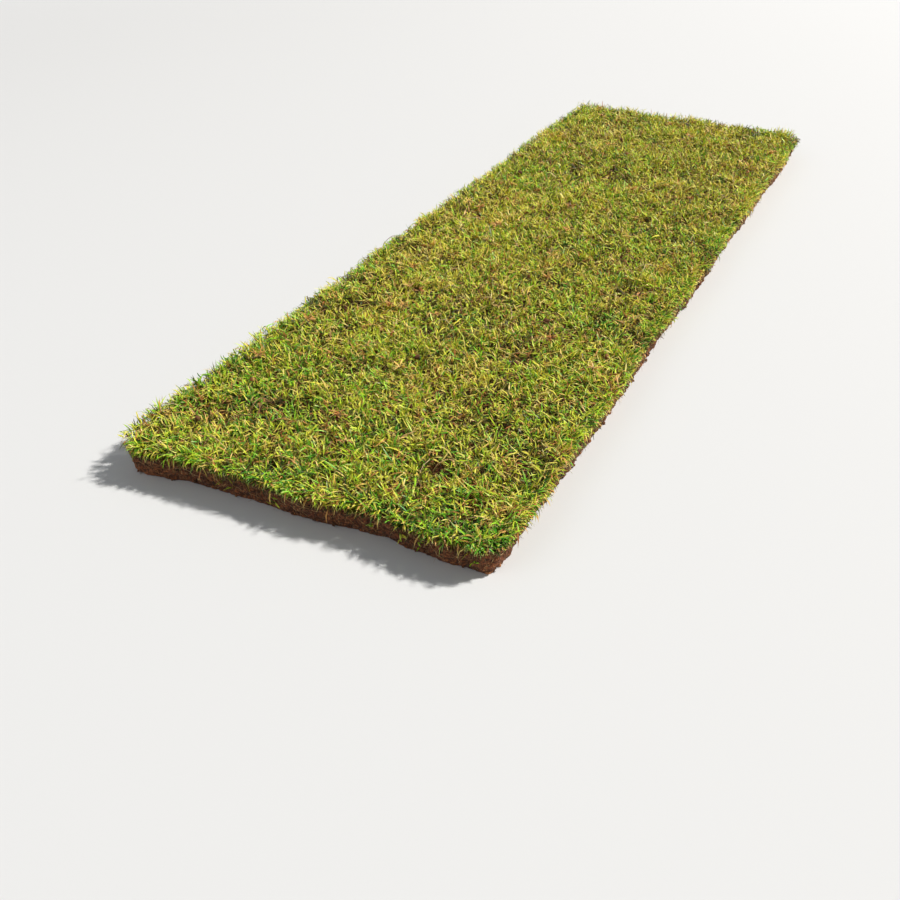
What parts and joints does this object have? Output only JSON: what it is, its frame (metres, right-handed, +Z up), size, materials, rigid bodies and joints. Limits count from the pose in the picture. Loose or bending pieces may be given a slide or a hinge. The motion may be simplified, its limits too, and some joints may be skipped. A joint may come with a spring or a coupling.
{
  "type": "turf strip",
  "caption": "Unrolled strip of live turf lying flat: a mat of dark soil and roots with mown grass that leans out over its cut sides.",
  "frame": {"origin": "on the ground, under the middle of the strip's whole reach", "axes": "+X along the strip from its torn near end to its straight far end, +Y towards its left long side, +Z up out of the grass"},
  "size_m": [1.2846, 0.4179, 0.0497],
  "materials": {
    "rooty_soil": "rough crumbly soil bound by roots",
    "mown_grass": "dense mown grass, matt with a faint sheen on each blade"
  },
  "bodies": {
    "root": {"root_mat": "rooty_soil", "grass_sward": "mown_grass"}
  },
  "joints": []
}
